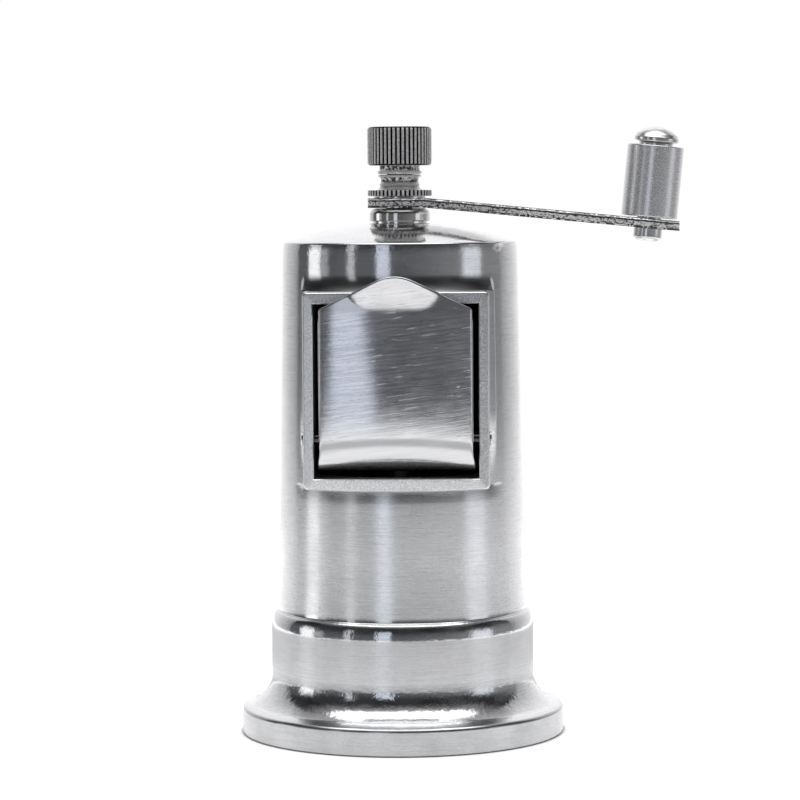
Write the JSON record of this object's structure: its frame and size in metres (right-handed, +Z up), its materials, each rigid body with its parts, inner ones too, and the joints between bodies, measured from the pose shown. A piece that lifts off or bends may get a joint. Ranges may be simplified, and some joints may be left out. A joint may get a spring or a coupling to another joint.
{
  "type": "hand mill",
  "caption": "Small cast aluminium hand mill with a flared foot, a tilting filler chute, a crank with a roller grip, and conical burrs set by knurled nuts.",
  "frame": {"origin": "centre of the foot's flat underside, on the spindle's axis", "axes": "+Z up along the spindle, -Y out through the filler chute, +X along the crank as the picture shows it"},
  "size_m": [0.0834, 0.0606, 0.1137],
  "materials": {
    "polished_cast_aluminium": "buffed cast aluminium with light pitting, satin on the foot's side and the filler frame",
    "brushed_cast_aluminium": "hand-brushed cast aluminium",
    "satin_aluminium": "fine grained satin",
    "bright_nickel": "nickel plated, bright",
    "nickelled_steel_strip": "nickel plated strip with rough sheared edges",
    "hardened_steel": "hardened and ground",
    "plain_steel": "turned",
    "spring_steel": "drawn wire",
    "bronze": "turned bronze"
  },
  "bodies": {
    "body": {"housing": "polished_cast_aluminium", "top_bush": "bright_nickel", "outer_burr": "hardened_steel", "burr_ring_screws": "plain_steel", "bridge": "plain_steel", "bridge_bush": "bronze", "bridge_screws": "plain_steel", "hinge_pins": "bright_nickel"},
    "chute": {"filler_chute": "brushed_cast_aluminium"},
    "crank": {"crank_arm": "nickelled_steel_strip", "thrust_washer": "bright_nickel", "grip_pin": "bright_nickel"},
    "grip": {"grip_roller": "satin_aluminium"},
    "spindle_group": {"spindle": "plain_steel", "inner_burr": "hardened_steel", "burr_washer": "plain_steel", "burr_nut": "plain_steel", "burr_spring": "spring_steel"},
    "adjuster": {"adjusting_nut": "bright_nickel"},
    "locker": {"lock_nut": "bright_nickel"}
  },
  "joints": [
    {"name": "crank_turn", "type": "hinge", "parent": "body", "child": "crank", "pos_m": [0, 0, 0.0986], "axis": [0, 0, 1], "continuous": true},
    {"name": "grip_spin", "type": "hinge", "parent": "crank", "child": "grip", "pos_m": [0.0466, 0, 0.09632], "axis": [0.0976, 0, 0.9952], "continuous": true},
    {"name": "adjusting_nut_turn", "type": "hinge", "parent": "crank", "child": "adjuster", "pos_m": [0, 0, 0.1008], "axis": [0, 0, 1], "range_deg": [0, 540]},
    {"name": "spindle_feed", "type": "slide", "parent": "crank", "child": "spindle_group", "axis": [0, 0, 1], "range_m": [-0.0012, 0], "deforming": ["burr_spring"]},
    {"name": "lock_nut_turn", "type": "hinge", "parent": "adjuster", "child": "locker", "pos_m": [0, 0, 0.105], "axis": [0, 0, 1], "range_deg": [0, 90]},
    {"name": "chute_tilt", "type": "hinge", "parent": "body", "child": "chute", "pos_m": [0, -0.0224, 0.057], "axis": [1, 0, 0], "range_deg": [0, 32]}
  ],
  "couplings": [
    {"joint": "adjusting_nut_turn", "follows": "spindle_feed", "rad_per_m": -7854}
  ]
}
